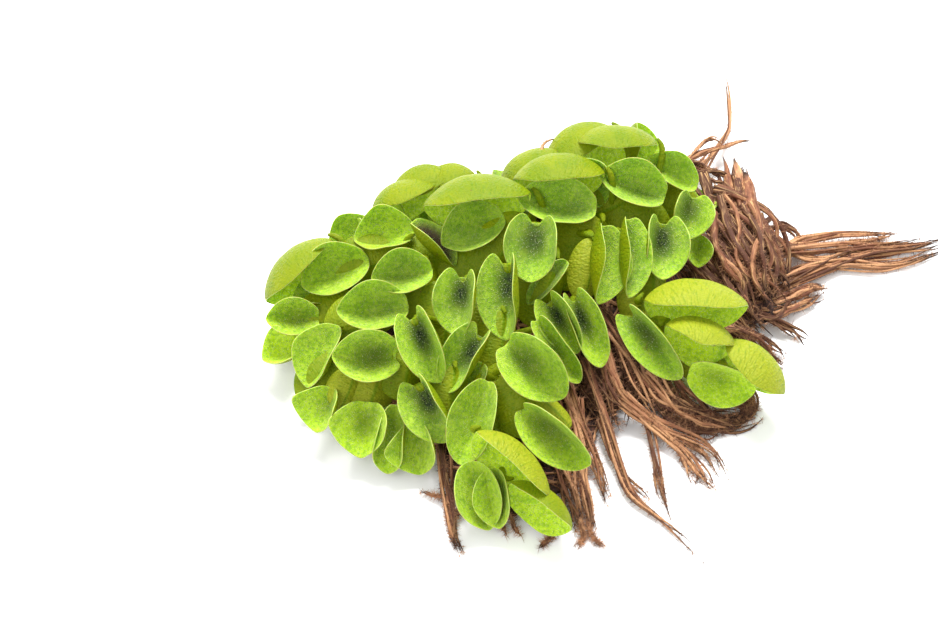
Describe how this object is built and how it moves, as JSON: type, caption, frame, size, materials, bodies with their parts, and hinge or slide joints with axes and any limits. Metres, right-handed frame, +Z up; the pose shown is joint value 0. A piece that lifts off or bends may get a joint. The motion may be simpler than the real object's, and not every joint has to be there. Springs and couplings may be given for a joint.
{
  "type": "floating fern clump",
  "caption": "Lifted clump of a floating fern: cupped green leaves crowded on a forking rhizome over a mat of brown root-like fronds that trail along the table.",
  "frame": {"origin": "on the table, at the middle of the root mat's flat underside", "axes": "+X along the clump towards the long root tail, +Z up, -Y towards the viewer of the picture"},
  "size_m": [0.1362, 0.1265, 0.0304],
  "materials": {
    "leaf_green": "velvety above, smooth and waxy below",
    "stem_green": "smooth green stem",
    "root_brown": "wet, hairy, fibrous"
  },
  "bodies": {
    "root": {"crown_leaf_1": "leaf_green", "crown_leaf_2": "leaf_green", "crown_leaf_3": "leaf_green", "crown_leaf_4": "leaf_green", "crown_leaf_5": "leaf_green", "crown_leaf_6": "leaf_green", "ridge_leaf_1": "leaf_green", "ridge_leaf_2": "leaf_green", "ridge_leaf_3": "leaf_green", "ridge_leaf_4": "leaf_green", "ridge_leaf_5": "leaf_green", "ridge_leaf_6": "leaf_green", "ridge_leaf_7": "leaf_green", "middle_leaf_1": "leaf_green", "middle_leaf_2": "leaf_green", "middle_leaf_3": "leaf_green", "middle_leaf_4": "leaf_green", "middle_leaf_5": "leaf_green", "middle_leaf_6": "leaf_green", "middle_leaf_7": "leaf_green", "left_leaf_1": "leaf_green", "left_leaf_2": "leaf_green", "left_leaf_3": "leaf_green", "left_leaf_4": "leaf_green", "left_leaf_5": "leaf_green", "left_leaf_6": "leaf_green", "front_leaf_1": "leaf_green", "front_leaf_2": "leaf_green", "front_leaf_3": "leaf_green", "front_leaf_4": "leaf_green", "front_leaf_5": "leaf_green", "front_leaf_6": "leaf_green", "front_leaf_7": "leaf_green", "front_leaf_8": "leaf_green", "front_leaf_9": "leaf_green", "front_leaf_10": "leaf_green", "front_leaf_11": "leaf_green", "side_leaf_1": "leaf_green", "side_leaf_2": "leaf_green", "side_leaf_3": "leaf_green", "side_leaf_4": "leaf_green", "side_leaf_5": "leaf_green", "side_leaf_6": "leaf_green", "side_leaf_7": "leaf_green", "back_leaf_1": "leaf_green", "hind_leaf_1": "leaf_green", "hind_leaf_2": "leaf_green", "hind_leaf_3": "leaf_green", "rhizome_main": "stem_green", "rhizome_left": "stem_green", "rhizome_front": "stem_green", "rhizome_right": "stem_green", "root_tangle_right": "root_brown", "root_tail_right": "root_brown", "root_curtain_right": "root_brown", "root_hank_front": "root_brown", "root_hank_middle": "root_brown", "root_hank_left": "root_brown", "root_sprig_top": "root_brown", "root_mat": "root_brown"}
  },
  "joints": []
}
